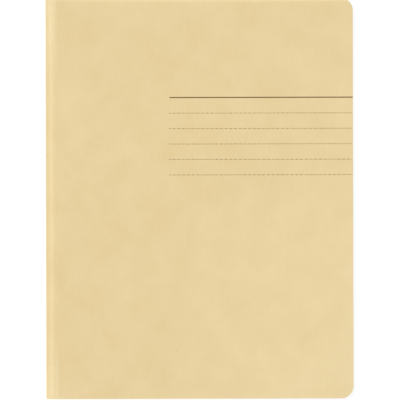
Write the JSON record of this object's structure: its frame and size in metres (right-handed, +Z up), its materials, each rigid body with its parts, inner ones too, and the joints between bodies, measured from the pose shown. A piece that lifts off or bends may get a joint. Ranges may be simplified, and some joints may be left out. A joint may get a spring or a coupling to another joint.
{
  "type": "three-flap folder",
  "caption": "Manila card document folder with a creased spine, a ruled front cover and folding inner flaps that hold loose A4 sheets.",
  "frame": {"origin": "on the table, under the middle of the closed folder", "axes": "+Y from the foot to the head of the folder, +X from the folded spine to the fore-edge, +Z up out of the front cover"},
  "size_m": [0.2449, 0.32, 0.0022],
  "materials": {
    "card": "matte"
  },
  "bodies": {
    "back": {"back_cover": "card"},
    "back_outer_strip": {"spine_back_wide": "card"},
    "back_inner_strip": {"spine_back_narrow": "card"},
    "front_inner_strip": {"spine_front_narrow": "card"},
    "front_outer_strip": {"spine_front_wide": "card"},
    "cover": {"front_cover": "card"},
    "top_leaf": {"top_flap_strip": "card", "top_flap": "card"},
    "bottom_leaf": {"bottom_flap_strip": "card", "bottom_flap": "card"},
    "side_leaf": {"side_flap_strip": "card", "side_flap": "card"}
  },
  "joints": [
    {"name": "back_outer_crease", "type": "hinge", "parent": "back", "child": "back_outer_strip", "pos_m": [-0.114, 0, 0.00032], "axis": [0, -1, 0], "range_deg": [0, 5.53]},
    {"name": "back_inner_crease", "type": "hinge", "parent": "back_outer_strip", "child": "back_inner_strip", "pos_m": [-0.1201, 0, 0.00091], "axis": [0, 1, 0], "range_deg": [0, 3.62]},
    {"name": "spine_fold", "type": "hinge", "parent": "back", "child": "front_outer_strip", "pos_m": [-0.1225, 0, 0.00068], "axis": [0, -1, 0], "range_deg": [0, 174.47]},
    {"name": "front_inner_crease", "type": "hinge", "parent": "front_outer_strip", "child": "front_inner_strip", "pos_m": [-0.1201, 0, 0.00127], "axis": [0, -1, 0], "range_deg": [0, 3.62]},
    {"name": "cover_crease", "type": "hinge", "parent": "front_outer_strip", "child": "cover", "pos_m": [-0.114, 0, 0.00233], "axis": [0, -1, 0], "range_deg": [0, 179.9]},
    {"name": "top_flap_fold", "type": "hinge", "parent": "back", "child": "top_leaf", "pos_m": [0, 0.15915, 0.00047], "axis": [-1, 0, 0], "range_deg": [0, 180]},
    {"name": "bottom_flap_fold", "type": "hinge", "parent": "back", "child": "bottom_leaf", "pos_m": [0, -0.15915, 0.00047], "axis": [1, 0, 0], "range_deg": [0, 180]},
    {"name": "side_flap_fold", "type": "hinge", "parent": "back", "child": "side_leaf", "pos_m": [0.12115, 0, 0.00078], "axis": [0, 1, 0], "range_deg": [0, 180]}
  ],
  "couplings": [
    {"joint": "back_outer_crease", "follows": "spine_fold", "ratio": 0.031664},
    {"joint": "back_inner_crease", "follows": "spine_fold", "ratio": 0.020721},
    {"joint": "front_inner_crease", "follows": "spine_fold", "ratio": 0.020721},
    {"joint": "top_flap_fold", "follows": "spine_fold", "ratio": 1.0317},
    {"joint": "bottom_flap_fold", "follows": "spine_fold", "ratio": 1.0317},
    {"joint": "side_flap_fold", "follows": "spine_fold", "ratio": 1.0317}
  ]
}
